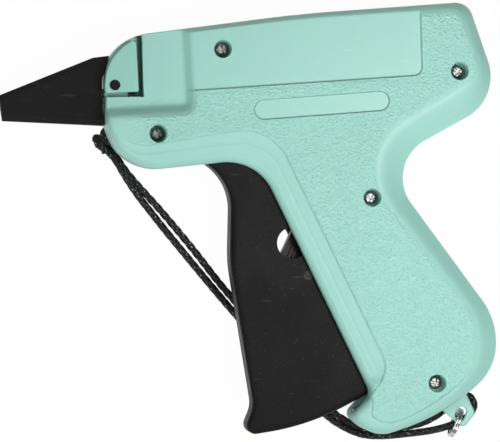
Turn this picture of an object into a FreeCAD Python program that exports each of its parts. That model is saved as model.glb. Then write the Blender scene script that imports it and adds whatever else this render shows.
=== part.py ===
import FreeCAD, Part
import math
import os

os.makedirs("parts", exist_ok=True)
V = FreeCAD.Vector

# Garment tag attacher, lying on its right side. Millimetres.
# X runs from the needle cap to the back of the handle, Y from the heel to the top of the
# barrel, and Z from the right casing half to the left one. z = 0 is the resting surface.

# ---- driving dimensions -------------------------------------------------------------
thickness = 28.0            # over the raised fields of both casing halves
mid = thickness / 2         # the parting plane of the casing
rim_drop = 3.5              # how far the rim lies below the raised field
wall = 2.2                  # casing wall
nose_drop = 3.2             # depth of the nose recess
panel_drop = 0.6            # depth of the smooth top panel
plaque_drop = 0.4           # depth of the bare oval plaque

trigger_swing = 12.0        # degrees from rest to fully squeezed
lever_swing = 50.0          # degrees that the drive lever turns meanwhile
stroke = 43.0               # travel of the slider and the push rod
trigger_half = 7.0          # half thickness of the trigger
channel_half = 3.4          # half width of the channel inside it
trigger_rounding = 2.0      # of its long edges
lever_half = 2.6            # half thickness of the drive lever

screw_head_radius = 2.6
screw_recess_radius = 2.8
screw_seat = 21.0           # height of the seat under each screw head
screw_shank_radius = 1.25
boss_radius = 4.0

axis_angle = 4.0            # the barrel and its needle rise to the back by this many degrees
axis_start = V(-47.6, 40.6, mid)
trigger_pivot = V(-9.2, 56.2, 0)
link_pin_place = V(20.0, -19.0, 0)
notch_radius = 68.7         # from the trigger pivot to the middle of the fulcrum notch
notch_end_angle = -69.6     # where the blind end of the notch is centred
notch_half = 5.2
fulcrum_angle = notch_end_angle + trigger_swing + 0.6
slider_pin_rest_x = 51.3
slider_front = 9.0          # from the slider's pin to the front of its carriage

needle_tip_x = -77.0
needle_radius = 1.0
needle_bore = 0.62
push_rod_radius = 0.5
push_rod_tip_x = -34.4

lock_pin_place = V(-44.9, 44.2, 0)
lock_pin_radius = 1.7
feed_wheel_place = V(-31.7, 49.5, 0)
feed_pawl_place = V(-24.2, 54.2, 0)

cord_diameter = 2.2
cord_height = 1.2           # centre line of the wrist cord where it lies on the surface
knot_loop = V(-45.2, 27.9, 7.0)
knot_loop_radius = 2.9

# screw centres: barrel front, nose, barrel back, neck, heel
screws = [V(-9.2, 56.2, 0), V(-30.7, 28.1, 0), V(70.1, 49.1, 0), V(40.7, 6.9, 0), V(62.6, -55.0, 0)]

# casing outline, corner by corner: x, y, rounding radius
casing = [
    (-47.9, 14.5, 17.7),    # under the nose
    (2.6, 19.9, 16.7),      # arch in front of the handle
    (40.8, -58.5, 4.0),     # throat above the toe
    (34.0, -66.1, 2.7),     # toe
    (42.1, -73.6, 11.0),    # underside of the toe
    (64.7, -65.8, 66.7),    # bottom of the handle
    (83.0, -50.5, 18.7),    # heel
    (83.0, -33.7, 24.0),    # back of the handle
    (44.6, 18.1, 14.2),     # waist behind the neck
    (84.6, 40.3, 15.6),     # back of the barrel
    (73.4, 72.5, 6.0),      # top back corner
    (17.2, 68.2, 500.0),    # top edge, a slow bend
    (-47.9, 59.6, 15.3),    # top of the nose
]
# raised field of the same casing, with the same corners in the same order
field = [
    (-46.9, 19.8, 12.0),
    (6.0, 26.4, 14.0),
    (46.6, -54.0, 7.0),
    (39.0, -66.0, 3.0),
    (44.0, -69.6, 8.0),
    (64.0, -61.4, 60.0),
    (77.0, -49.5, 13.0),
    (77.0, -34.9, 20.0),
    (36.2, 23.3, 20.7),
    (77.4, 43.3, 9.6),
    (69.8, 69.6, 4.0),
    (17.2, 65.9, 500.0),
    (-46.9, 57.6, 13.0),
]


# ---- small helpers --------------------------------------------------------------------
def ray(angle, length=1.0):
    turn = math.radians(angle)
    return V(math.cos(turn) * length, math.sin(turn) * length, 0)


def turned(point, centre, angle):
    arm = point - centre
    turn = math.radians(angle)
    x = arm.x * math.cos(turn) - arm.y * math.sin(turn)
    y = arm.x * math.sin(turn) + arm.y * math.cos(turn)
    return centre + V(x, y, 0)


def fillet_arc(before, corner, after, radius):
    """The arc that rounds one corner, as its start, middle and end points."""
    back = (before - corner).normalize()
    ahead = (after - corner).normalize()
    half = back.getAngle(ahead) / 2
    reach = radius / math.tan(half)
    bisector = (back + ahead).normalize()
    centre = corner + bisector * (radius / math.sin(half))
    middle = centre - bisector * radius
    return corner + back * reach, middle, corner + ahead * reach


def rounded(corners, z=0.0):
    """A closed wire of straight runs and tangent arcs. A radius of 0 keeps a corner sharp."""
    count = len(corners)
    points = [V(x, y, z) for x, y, _ in corners]
    edges = []
    last = None
    first = None
    for i in range(count):
        radius = corners[i][2]
        if radius > 0:
            start, middle, end = fillet_arc(points[i - 1], points[i], points[(i + 1) % count], radius)
            arc = Part.Arc(start, middle, end).toShape()
        else:
            start = end = points[i]
            arc = None
        if last is not None and last.distanceToPoint(start) > 1e-6:
            edges.append(Part.LineSegment(last, start).toShape())
        if arc is not None:
            edges.append(arc)
        if first is None:
            first = start
        last = end
    if last.distanceToPoint(first) > 1e-6:
        edges.append(Part.LineSegment(last, first).toShape())
    return Part.Wire(edges)


def slab(corners, low, high):
    """A plate with a rounded outline between two heights."""
    return Part.Face(rounded(corners, low)).extrude(V(0, 0, high - low))


def block(x0, x1, y0, y1, z0, z1):
    return Part.makeBox(x1 - x0, y1 - y0, z1 - z0, V(x0, y0, z0))


def post(place, radius, low, high):
    return Part.makeCylinder(radius, high - low, V(place.x, place.y, low))


def capsule(start, end, radius, low, high):
    """A slot-shaped prism from one point to another."""
    body = post(start, radius, low, high)
    along = end - start
    if along.Length < 1e-6:
        return body
    side = V(-along.y, along.x, 0).normalize() * radius
    corners = [start + side, start - side, end - side, end + side]
    plate = slab([(p.x, p.y, 0) for p in corners], low, high)
    return body.multiFuse([plate, post(end, radius, low, high)])


def path_slot(places, radius, low, high):
    pieces = [capsule(a, b, radius, low, high) for a, b in zip(places, places[1:])]
    return pieces[0].multiFuse(pieces[1:]).removeSplitter()


def axis_point(x):
    """The point of the needle axis that lies at x."""
    return V(x, axis_start.y + (x - axis_start.x) * math.tan(math.radians(axis_angle)), mid)


along_axis = ray(axis_angle)


def axis_rod(x0, x1, radius):
    start = axis_point(x0)
    length = (x1 - x0) / math.cos(math.radians(axis_angle))
    return Part.makeCylinder(radius, length, start, along_axis)


def axis_box(x0, x1, below, above, low, high):
    """A box whose long sides follow the needle axis."""
    start = axis_point(x0)
    length = (x1 - x0) / math.cos(math.radians(axis_angle))
    box = Part.makeBox(length, above - below, high - low, V(0, below, low))
    box.rotate(V(0, 0, 0), V(0, 0, 1), axis_angle)
    box.translate(V(start.x, start.y, 0))
    return box


def mirrored(shape):
    """The same shape on the other side of the parting plane."""
    return shape.mirror(V(0, 0, mid), V(0, 0, 1))


def save(name, shape):
    shape.exportStep("parts/" + name + ".step")


# ---- places that follow from the mechanism ----------------------------------------------
fulcrum = trigger_pivot + ray(fulcrum_angle, notch_radius)
slider_pin_place = axis_point(slider_pin_rest_x)
slider_pin_place.z = 0
steps = 8
link_path = []
slider_path = []
for step in range(steps + 1):
    part_way = step / steps
    link_now = turned(link_pin_place, trigger_pivot, trigger_swing * part_way)
    slider_now = slider_pin_place - along_axis * (stroke * part_way)
    link_path.append(turned(link_now, fulcrum, -lever_swing * part_way))
    slider_path.append(turned(slider_now, fulcrum, -lever_swing * part_way))


# ---- casing ---------------------------------------------------------------------------
def casing_skin():
    """The left half's outside: a prism up to the rim and a bevel up to the raised field."""
    rim = thickness - rim_drop
    prism = slab(casing, mid, rim)
    bevel = Part.makeLoft([rounded(casing, rim), rounded(field, thickness)], True, True)
    return prism.fuse(bevel).removeSplitter()


def casing_hollow():
    """The inside of the left half, kept shallow under the nose recess."""
    rim = thickness - rim_drop
    inner = Part.Face(rounded(casing, mid)).makeOffset2D(-wall)
    low = inner.extrude(V(0, 0, rim - 1.9 - mid))
    crown = Part.Face(rounded(field, mid)).makeOffset2D(-1.8)
    high = crown.extrude(V(0, 0, thickness - wall - mid))
    under_recess = block(-60, -18.4, 34.0, 80, thickness - nose_drop - wall, thickness)
    toe = block(30, 45.5, -80, -58, rim - 1.9, thickness)
    return low.fuse(high.cut([under_recess, toe]))


def nose_recess():
    floor = thickness - nose_drop
    return slab([(-60, 34.4, 0), (-21.0, 37.2, 2.7), (-21.0, 90, 0), (-60, 90, 0)], floor, thickness + 1)


def top_panel():
    floor = thickness - panel_drop
    outline = [(-25, 41.9, 0), (-17, 42.4, 1.5), (57.7, 47.6, 3.0), (56.4, 90, 0), (-25, 90, 0)]
    return slab(outline, floor, thickness + 1)


def plaque():
    left_end = V(4.5, 36.1, 0)
    right_end = V(43.1, 39.1, 0)
    return capsule(left_end, right_end, 3.3, thickness - plaque_drop, thickness + 1)


def trigger_way():
    """What the trigger sweeps through the arch and the front of the handle."""
    sweep = post(trigger_pivot, 129.4, mid - trigger_half - 0.4, mid + trigger_half + 0.4)
    corners = [(-15.6, 25, 0), (14, 25, 0), (30, -2, 0), (54, -56, 0),
               (52, -66, 0), (0, -80, 0), (-15.6, -30, 0)]
    return sweep.common(slab(corners, 0, thickness))


def lock_pocket():
    """Room for the lock lever, above the nose floor and in front of the feed slot."""
    outline = [(-60, 39.9, 0), (-35.3, 40.4, 0), (-37.3, 64, 0), (-60, 64, 0)]
    return slab(outline, 20.6, thickness + 1)


def feed_slots(low):
    """The upright slot for the tag strip and the level slot that lets each tag go forward."""
    upright = [(-36.6, 40.3, 0), (-35.3, 40.3, 0), (-36.2, 70, 0), (-37.5, 70, 0)]
    level = [(-60, 39.9, 0), (-35.4, 40.5, 0), (-35.4, 42.0, 0), (-60, 42.0, 0)]
    return slab(upright, low, thickness + 1).fuse(slab(level, low, thickness + 1))


def nose_opening():
    """The mouth in the nose for the needle base, and the back of the tag strip's way in."""
    mouth = block(-52, -44, 37.2, 43.6, mid - 4.7, mid + 4.7)
    strip_way = block(-37.5, -35.9, 45, 70, mid - 3.5, mid + 1)
    return mouth.fuse(strip_way)


def slide_rails(low, high):
    """Ribs above and below the slider's carriage."""
    over = axis_box(6.0, 60.0, 4.5, 6.0, low, high)
    under = axis_box(18.0, 24.0, -6.0, -4.5, low, high)
    under_back = axis_box(56.0, 62.0, -6.0, -4.5, low, high)
    return [over, under, under_back]


def left_half():
    """The left casing half, and the nose block that the feed slots part from it."""
    skin = casing_skin()
    hollow = casing_hollow()
    hollow = hollow.cut(block(-60, -34.4, 38.2, 70, 18.4, thickness))
    shell = skin.cut(hollow)
    bosses = [post(place, boss_radius, mid, 26.5) for place in screws]
    bosses.append(post(fulcrum, 4.4, mid + channel_half, 26.5))
    bosses.append(post(feed_wheel_place, 2.2, mid + 2.5, 23))
    bosses.append(post(feed_pawl_place, 2.0, mid + 2.5, 23))
    bosses.extend(slide_rails(mid + 6.6, 26.0))
    shell = shell.multiFuse(bosses).common(skin)
    for place in screws:
        shell = shell.cut(post(place, screw_recess_radius, screw_seat, thickness + 1))
        shell = shell.cut(post(place, screw_shank_radius + 0.3, mid - 1, screw_seat + 1))
    cuts = [nose_recess(), top_panel(), plaque(), lock_pocket(), feed_slots(mid - 1), trigger_way()]
    cuts.append(nose_opening())
    cuts.append(post(lock_pin_place, 3.0, 18.0, 21.0))
    cuts.append(post(lock_pin_place, lock_pin_radius + 0.02, mid - 1, 19.0))
    cuts.append(post(fulcrum, 2.05, mid, 21.6))
    cuts.append(post(feed_wheel_place, 1.05, mid, 20.1))
    cuts.append(post(feed_pawl_place, 0.95, mid, 20.1))
    solids = shell.cut(cuts).removeSplitter().Solids
    solids.sort(key=lambda solid: solid.Volume)
    return solids[-1], solids[-2]


def heel_lug():
    """The flat tab on the heel that the ring hangs in."""
    outline = [(60, -60, 0), (72, -52, 0), (78.6, -66.2, 2.4), (74.4, -71.2, 1.6), (66.0, -63.9, 0)]
    tab = slab(outline, 7.0, 9.2)
    eye = capsule(V(73.3, -66.9, 0), V(73.9, -65.5, 0), 1.7, 6, 10)
    return tab, eye


def cord_holes():
    """Two holes in the wall under the nose, which leave a bar that the wrist cord is tied round."""
    holes = []
    for y in (knot_loop.y + 2.6, knot_loop.y - 2.6):
        holes.append(Part.makeCylinder(1.4, 8.0, V(-50.0, y, knot_loop.z), V(1, 0, 0)))
    return holes


def right_shell():
    skin = mirrored(casing_skin())
    # the right half's nose stands a little behind the left half's
    nose_set_back = block(-60, -46.9, 0, 80, -1, mid - 1.0)
    shell = skin.cut(mirrored(casing_hollow()))
    bosses = [post(place, boss_radius, 1.5, mid) for place in screws]
    bosses.append(post(fulcrum, 4.4, 1.5, mid - channel_half))
    bosses.append(post(feed_wheel_place, 2.2, 5, mid - 3.4))
    bosses.append(post(feed_pawl_place, 2.0, 5, mid - 2.4))
    bosses.append(post(lock_pin_place, 2.9, 5, 9.0))
    bosses.extend(slide_rails(2.0, mid - 6.6))
    shell = shell.multiFuse(bosses).common(skin)
    for place in screws:
        shell = shell.cut(post(place, screw_shank_radius + 0.05, 4.0, mid + 1))
    cuts = [mirrored(nose_recess()), mirrored(top_panel()), mirrored(plaque())]
    cuts.extend([trigger_way(), nose_set_back, nose_opening()])
    cuts.append(post(fulcrum, 2.05, 6.4, mid))
    cuts.append(post(feed_wheel_place, 1.05, 6.5, mid))
    cuts.append(post(feed_pawl_place, 0.95, 6.5, mid))
    cuts.append(post(lock_pin_place, lock_pin_radius + 0.02, 6.0, mid))
    tab, eye = heel_lug()
    hollow = mirrored(casing_hollow())
    shell = shell.cut(cuts).fuse(tab.cut(hollow))
    return shell.cut([eye] + cord_holes()).removeSplitter()


def case_screw(place, cross_angle):
    """A pan-head screw with a cross recess, down in its counterbore."""
    head_top = screw_seat + 1.9
    head = post(place, screw_head_radius, screw_seat, head_top)
    head = head.makeFillet(0.7, [e for e in head.Edges if e.BoundBox.ZMin > head_top - 0.01])
    shank = post(place, screw_shank_radius, 5.0, screw_seat)
    cross = block(-1.5, 1.5, -0.28, 0.28, head_top - 1.0, head_top + 1)
    other = block(-0.28, 0.28, -1.5, 1.5, head_top - 1.0, head_top + 1)
    cross = cross.fuse(other)
    cross.rotate(V(0, 0, 0), V(0, 0, 1), cross_angle)
    cross.translate(V(place.x, place.y, 0))
    return head.fuse(shank).cut(cross)


# ---- trigger ----------------------------------------------------------------------------
trigger_outline = [
    (-15.2, 19.0, 2.0),     # where it leaves the barrel
    (-5.6, 12.3, 17.8),     # hollow for the first finger
    (-6.2, -14.6, 50.0),    # front edge, a slow bend
    (1.73, -62.8, 9.0),     # bottom of the front edge
    (-2.3, -72.81, 3.0),    # front toe
    (20.5, -69.3, 83.3),    # bottom edge
    (46.4, -55.6, 2.7),     # back toe, inside the handle
    (24.6, -8.0, 6.7),      # back edge
    (4.5, 22.9, 10.0),      # back of the shoulder
    (-4.4, 36.0, 6.0),      # back of the arm
    (-3.2, 61.5, 5.5),      # back of the pivot eye
    (-15.4, 61.5, 5.5),     # top of the pivot eye
]
front_wall = 6.0            # solid depth behind the front edge


def trigger():
    low = mid - trigger_half
    high = mid + trigger_half
    body = slab(trigger_outline, low, high)
    body = body.makeFillet(trigger_rounding, [e for e in body.Edges if abs(e.BoundBox.ZLength) < 0.01])
    channel_outline = [(-30, 48.5, 0), (-30, 22, 0), (-8, 20, 8), (-6.2 + front_wall, 5, 8),
                       (-6.2 + front_wall, -15, 20), (1.0 + front_wall, -58, 10), (8.0, -66.0, 2),
                       (20.5, -63.4, 60), (60, -42, 0), (60, 48.5, 0)]
    channel = slab(channel_outline, mid - channel_half, mid + channel_half)
    notch_steps = 6
    notch_span = 22.0
    notch_places = []
    for step in range(notch_steps + 1):
        angle = notch_end_angle + notch_span * step / notch_steps
        notch_places.append(trigger_pivot + ray(angle, notch_radius))
    notch = path_slot(notch_places, notch_half, low - 1, high + 1)
    eye = post(trigger_pivot, boss_radius + 0.08, low - 1, high + 1)
    pin_hole = post(link_pin_place, 1.58, low - 1, high + 1)
    return body.cut([channel, notch, eye, pin_hole])


# ---- drive lever and slider ---------------------------------------------------------------
def inset(points, depth):
    """The same corners, each moved towards their common middle."""
    middle = V(0, 0, 0)
    for point in points:
        middle = middle + point * (1.0 / len(points))
    return [point + (middle - point).normalize() * depth * 1.5 for point in points]


rib_depths = (5.4, 6.8, 8.2)     # of the lever's stiffening ribs, in front of its fulcrum


def drive_lever():
    low = mid - lever_half
    high = mid + lever_half
    down = (link_pin_place - fulcrum).normalize()
    up = (slider_pin_place - fulcrum).normalize()
    front = V(down.y, -down.x, 0)
    foot = [fulcrum + up * 4 + front * 4.6, fulcrum + down * 3 + front * 10.8,
            fulcrum + down * 24 + front * 10.8, fulcrum + down * 25 - front * 6.0,
            fulcrum - front * 5.4]
    foot_radii = [1.0, 3.0, 4.0, 4.0, 1.0]
    plate = slab([(p.x, p.y, r) for p, r in zip(foot, foot_radii)], low, high)
    arm = capsule(fulcrum, slider_pin_place + up * 1.0, 3.2, low, high)
    hub = post(fulcrum, 5.2, low, high)
    link_slot = path_slot(link_path, 1.75, low - 1, high + 1)
    slider_slot = path_slot(slider_path, 1.7, low - 1, high + 1)
    rim = 1.4
    pocket_corners = foot[1:4] + [fulcrum + down * 7 - front * 5.4]
    pocket = slab([(p.x, p.y, 3.0) for p in pocket_corners], high - 0.8, high + 1)
    pocket = pocket.cut(path_slot(link_path, 1.75 + rim, low, high + 2))
    pocket = pocket.common(slab([(p.x, p.y, 2.0) for p in inset(foot, rim)], low, high + 2))
    for depth in rib_depths:
        start = fulcrum + front * depth
        pocket = pocket.cut(capsule(start, start + down * 26, 0.3, low, high + 2))
    bore = post(fulcrum, 2.06, low - 1, high + 1)
    return plate.multiFuse([arm, hub]).cut([link_slot, slider_slot, bore, pocket]).removeSplitter()


def slider():
    """The carriage that straddles the lever, with the stem that the push rod is set in."""
    x = slider_pin_rest_x
    left = axis_box(x - slider_front, x + 7.5, -4.0, 4.0, mid + 3.0, mid + 6.2)
    right = axis_box(x - slider_front, x + 7.5, -4.0, 4.0, mid - 6.2, mid - 3.0)
    front = axis_box(x - slider_front, x - 7.1, -4.0, 4.0, mid - 6.2, mid + 6.2)
    back = axis_box(x + 5.4, x + 7.5, 1.0, 4.0, mid - 6.2, mid + 6.2)
    stem = axis_rod(20.0, x - 8.0, 1.6)
    body = left.multiFuse([right, front, back, stem])
    body = body.cut(post(slider_pin_place, 1.52, mid - 8, mid + 8))
    return body.cut(axis_rod(18.0, 28.0, push_rod_radius + 0.02)).removeSplitter()


def return_spring():
    """The compression spring round the push rod, between its guide and the carriage."""
    start = axis_point(-24.2)
    length = (slider_pin_rest_x - slider_front + 24.2) / math.cos(math.radians(axis_angle)) - 1.1
    turns = 16
    wire_radius = 0.4
    coil_radius = 2.6
    helix = Part.makeHelix(length / turns, length, coil_radius)
    profile = Part.Wire([Part.makeCircle(wire_radius, V(coil_radius, 0, 0), V(0, 1, 0))])
    coil = Part.Wire(helix.Edges).makePipeShell([profile], True, True)
    coil.rotate(V(0, 0, 0), V(0, 1, 0), 90)
    coil.rotate(V(0, 0, 0), V(0, 0, 1), axis_angle)
    coil.translate(start + along_axis * 0.5)
    return coil


# ---- nose -----------------------------------------------------------------------------------
def needle():
    """A slotted hollow needle with a collar at its back end."""
    tube = axis_rod(needle_tip_x, -37.2, needle_radius)
    collar = axis_rod(-41.0, -37.6, 1.8)
    bore = axis_rod(needle_tip_x - 2, -36, needle_bore)
    slot = axis_box(needle_tip_x - 2, -36, -0.22, 0.22, mid, mid + 3)
    body = tube.fuse(collar).cut(bore).cut(slot)
    tip = axis_point(needle_tip_x)
    bevel = Part.makeBox(8, 6, 6, V(-8, -3, -3))
    bevel.rotate(V(0, 0, 0), V(0, 1, 0), 38)
    bevel.translate(V(tip.x + 1.6, tip.y, mid))
    return body.cut(bevel)


def needle_base():
    """The plastic holder of the needle, with the spigot that the cap grips."""
    holder = axis_box(-46.6, -41.2, -3.1, 1.4, mid - 4.3, mid + 4.3)
    spigot = axis_rod(-53.0, -46.6, 2.6)
    bore = axis_rod(-54.0, -41.0, needle_radius + 0.02)
    slot = axis_box(-54.0, -41.0, -0.3, 0.3, mid, mid + 6)
    return holder.fuse(spigot).cut(bore).cut(slot)


def rod_guide():
    """The block behind the feed slot that the push rod runs in."""
    body = axis_box(-33.9, -24.5, -3.2, 2.8, mid - 4.5, mid + 4.5)
    return body.cut(axis_rod(-36, -22, push_rod_radius + 0.1))


cap_side = [
    (-83.0, 40.9, 0),       # top of the tip
    (-51.8, 53.5, 0),
    (-46.5, 54.1, 0),       # top back corner
    (-48.9, 46.2, 9.0),     # hollow that clears the lock lever
    (-48.7, 38.0, 9.0),
    (-48.1, 30.9, 0),       # bottom back corner
    (-81.8, 32.4, 0),       # bottom of the tip
]


def cap_form(margin):
    """The cap's outside, or its inside when a margin is given."""
    half_back = 6.5 - margin
    half_tip = 3.4 - margin
    outline = Part.Face(rounded(cap_side, 0))
    if margin > 0:
        outline = outline.makeOffset2D(-margin)
    side = outline.extrude(V(0, 0, thickness))
    plan_points = [V(-90, 0, mid - half_tip), V(-40, 0, mid - half_back), V(-40, 0, mid + half_back),
                   V(-90, 0, mid + half_tip), V(-90, 0, mid - half_tip)]
    plan = Part.Face(Part.makePolygon(plan_points)).extrude(V(0, 100, 0))
    return side.common(plan)


def needle_cap():
    outside = cap_form(0)
    long_edges = [e for e in outside.Edges if e.BoundBox.XLength > 20 and e.BoundBox.ZLength > 1.0]
    outside = outside.makeChamfer(1.6, long_edges)
    inside = cap_form(1.4)
    mouth = slab([(-58, 33.0, 0), (-45, 32.4, 0), (-44, 52.4, 0), (-55, 50.8, 0)], mid - 5.0, mid + 5.0)
    return outside.cut([inside, mouth])


lever_plate = [
    (-48.2, 41.5, 1.0),     # front bottom corner
    (-36.9, 42.1, 0.5),     # back bottom corner
    (-38.1, 64.0, 0),       # along the feed slot
    (-48.2, 64.0, 0),
]
quarter_centre = V(-31.6, 44.2, 0)
quarter_radius = 16.6


def lock_lever():
    """The quarter-round lever that turns forward on its pin to free the needle."""
    top = thickness - nose_drop
    round_side = post(quarter_centre, quarter_radius, 20, thickness)
    below = block(-60, -30, 30, quarter_centre.y, 20, thickness)
    plate = slab(lever_plate, 20.9, top).common(round_side.fuse(below).removeSplitter())
    tall = [e for e in plate.Edges if e.BoundBox.ZLength > 3 and e.BoundBox.YMin > 55]
    plate = plate.makeFillet(1.2, tall)
    plate = plate.makeFillet(0.4, [e for e in plate.Edges if e.BoundBox.ZMin > top - 0.01])
    hub = post(lock_pin_place, 2.8, 18.9, 20.9)
    hole = post(lock_pin_place, lock_pin_radius + 0.05, 18, thickness)
    return plate.fuse(hub).cut(hole)


def feed_wheel():
    """An eight-toothed star wheel that moves the tag strip down."""
    teeth = 8
    tip = 3.6
    root = 2.5
    corners = []
    for tooth in range(teeth):
        angle = 360.0 * tooth / teeth
        for offset, radius in ((-9, tip), (9, tip), (15, root), (30, root)):
            point = feed_wheel_place + ray(angle + offset, radius)
            corners.append((point.x, point.y, 0))
    star = slab(corners, mid - 2.6, mid + 1.4)
    hub = post(feed_wheel_place, 1.9, mid - 3.2, mid + 2.2)
    return star.fuse(hub).cut(post(feed_wheel_place, 1.05, 0, thickness))


def feed_pawl():
    """The arm that clicks the star wheel on, held just off its teeth."""
    tip = feed_wheel_place + V(3.2, 2.9, 0)
    arm = capsule(feed_pawl_place, tip, 0.7, mid - 1.8, mid + 1.2)
    hub = post(feed_pawl_place, 1.7, mid - 2.2, mid + 2.2)
    return hub.fuse(arm).cut(post(feed_pawl_place, 0.95, 0, thickness))


def feed_track():
    """Two thin walls that keep the tag strip upright on its way down."""
    front = [(-38.4, 46.6, 0), (-37.6, 46.6, 0), (-38.2, 56.6, 0), (-39.0, 56.6, 0)]
    back = [(-35.0, 54.0, 0), (-34.4, 54.0, 0), (-34.6, 57.2, 0), (-35.2, 57.2, 0)]
    foot = [(-39.0, 54.4, 0), (-34.4, 54.4, 0), (-34.6, 56.6, 0), (-39.0, 56.6, 0)]
    walls = [slab(front, mid - 5, mid + 4), slab(back, mid - 5, mid + 4)]
    return slab(foot, mid - 5, mid - 4.2).multiFuse(walls)


def knife_blade():
    """The steel blade that parts each tag from the strip."""
    outline = [(-41.0, 43.2, 0), (-37.4, 43.4, 0), (-37.4, 45.2, 0), (-41.0, 45.6, 0)]
    return slab(outline, mid - 3.0, mid + 3.0)


# ---- wrist cord and its ring -------------------------------------------------------------------
ring_radius = 4.7
ring_wire = 0.5
ring_away = ray(-112.0)     # from the lug's eye to the ring's outer side
lug_eye = V(73.6, -66.2, 0)


def split_ring():
    """Two turns of round wire side by side, hanging in the lug with one side on the surface."""
    height = ring_radius + ring_wire + 0.2
    centre = lug_eye + ring_away * 3.5
    centre.z = height
    across = V(-ring_away.y, ring_away.x, 0)
    turns = []
    for offset in (-0.45, 0.45):
        turns.append(Part.makeTorus(ring_radius, ring_wire, centre + across * offset, across))
    return turns[0].fuse(turns[1])


def lying(x, y):
    """A point of the cord where it lies on the surface."""
    return V(x, y, cord_height)


# the wrist cord's route: out of the knot, along the first strand to the heel, round the bight,
# through the ring and back along the second strand to the knot
cord_route = [
    V(-48.1, 27.0, 4.6), V(-46.5, 24.5, 2.3), V(-43.8, 22.2, 1.25), lying(-42.1, 19.6),
    lying(-39.6, 15.8), lying(-36.1, 11.7), lying(-32.2, 7.4), lying(-28.6, 3.5),
    lying(-21.6, -4.7), lying(-14.9, -12.9), lying(-8.9, -20.8), lying(-2.6, -28.2),
    lying(6.6, -38.6), lying(17.0, -50.4), lying(25.9, -60.8), V(31.0, -66.3, 2.1),
    V(36.4, -69.5, 1.5), lying(42.2, -71.6), lying(48.8, -71.8), lying(56.6, -70.9),
    lying(62.0, -69.7), lying(67.4, -66.8), lying(71.0, -63.4), lying(74.6, -60.5),
    V(78.0, -60.4, 1.4), V(79.6, -63.5, 2.0), V(77.9, -66.9, 2.9), V(74.6, -69.0, 3.4),
    V(70.8, -70.6, 3.0), V(66.5, -71.9, 2.0), lying(62.3, -72.7), lying(56.9, -73.3),
    lying(48.7, -74.1), lying(41.5, -73.9), lying(35.3, -71.5), lying(28.5, -67.2),
    lying(17.2, -55.2), lying(6.2, -42.4), lying(-5.3, -29.3), lying(-12.3, -21.0),
    lying(-19.0, -12.9), lying(-25.8, -4.7), lying(-31.8, 2.9), lying(-35.1, 7.1),
    V(-38.2, 11.4, 2.7), V(-40.8, 15.5, 3.35), V(-43.0, 19.4, 3.6), V(-46.0, 22.8, 4.6),
    V(-49.6, 24.9, 5.4),
]


def cord_path(route):
    """Straight runs joined by tangent arcs, each as large as its two runs allow."""
    edges = []
    radii = []
    last = route[0]
    for before, corner, after in zip(route, route[1:], route[2:]):
        shorter = min((corner - before).Length, (after - corner).Length)
        turn = (corner - before).getAngle(after - corner)
        radius = 0.45 * shorter / math.tan(turn / 2)
        radii.append(radius)
        start, middle, end = fillet_arc(before, corner, after, radius)
        edges.append(Part.LineSegment(last, start).toShape())
        edges.append(Part.Arc(start, middle, end).toShape())
        last = end
    edges.append(Part.LineSegment(last, route[-1]).toShape())
    return Part.Wire(edges), radii


def wrist_cord():
    path, radii = cord_path(cord_route)
    heading = cord_route[1] - cord_route[0]
    profile = Part.Wire([Part.makeCircle(cord_diameter / 2, cord_route[0], heading)])
    tube = path.makePipeShell([profile], True, True)
    expected = math.pi * (cord_diameter / 2) ** 2 * path.Length
    print("cord length", round(path.Length, 1), "volume ratio", round(tube.Volume / expected, 4))
    print("cord bend radii", [round(r, 1) for r in radii])
    return tube


def wrist_cord_knot():
    """The knot at the cord's two ends, its loop round the bar under the nose, and its melted tail."""
    centre = V(-48.9, 26.2, 5.0)
    ball = Part.makeSphere(2.2, centre)
    # the ball's seam is turned away from its loop
    ball.rotate(centre, V(0, 0, 1), 180)
    loop = Part.makeTorus(knot_loop_radius, 0.85, knot_loop, V(0, 0, 1))
    tail = Part.makeCylinder(1.0, 4.0, V(-48.1, 25.7, 6.0), V(0.33, -1, -0.1))
    return ball.multiFuse([loop, tail])


# ---- write every piece ---------------------------------------------------------------------------
left_shell, nose_block = left_half()
save("left_shell", left_shell)
save("nose_block", nose_block)
save("right_shell", right_shell())
save("case_screws", Part.makeCompound([case_screw(p, 12 + 17 * i) for i, p in enumerate(screws)]))
save("trigger", trigger())
save("link_pin", post(link_pin_place, 1.55, mid - trigger_half, mid + trigger_half))
save("drive_lever", drive_lever())
save("lever_pin", post(fulcrum, 2.0, 6.6, 21.4))
save("slider", slider())
save("slider_pin", post(slider_pin_place, 1.5, mid - 6.2, mid + 6.2))
save("push_rod", axis_rod(push_rod_tip_x, 27.8, push_rod_radius))
save("return_spring", return_spring())
save("push_rod_guide", rod_guide())
save("needle", needle())
save("needle_base", needle_base())
save("knife_blade", knife_blade())
save("feed_track", feed_track())
save("feed_wheel", feed_wheel())
save("feed_wheel_pin", post(feed_wheel_place, 1.0, 6.6, 20.0))
save("feed_pawl", feed_pawl())
save("feed_pawl_pin", post(feed_pawl_place, 0.9, 6.6, 20.0))
save("lock_lever", lock_lever())
save("lock_lever_pin", post(lock_pin_place, lock_pin_radius, 6.2, 25.1))
save("needle_cap", needle_cap())
save("split_ring", split_ring())
save("wrist_cord", wrist_cord())
save("wrist_cord_knot", wrist_cord_knot())
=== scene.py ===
import bmesh
import bpy
import math
import numpy as np
from mathutils import Vector, Matrix
from mathutils.geometry import delaunay_2d_cdt


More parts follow.
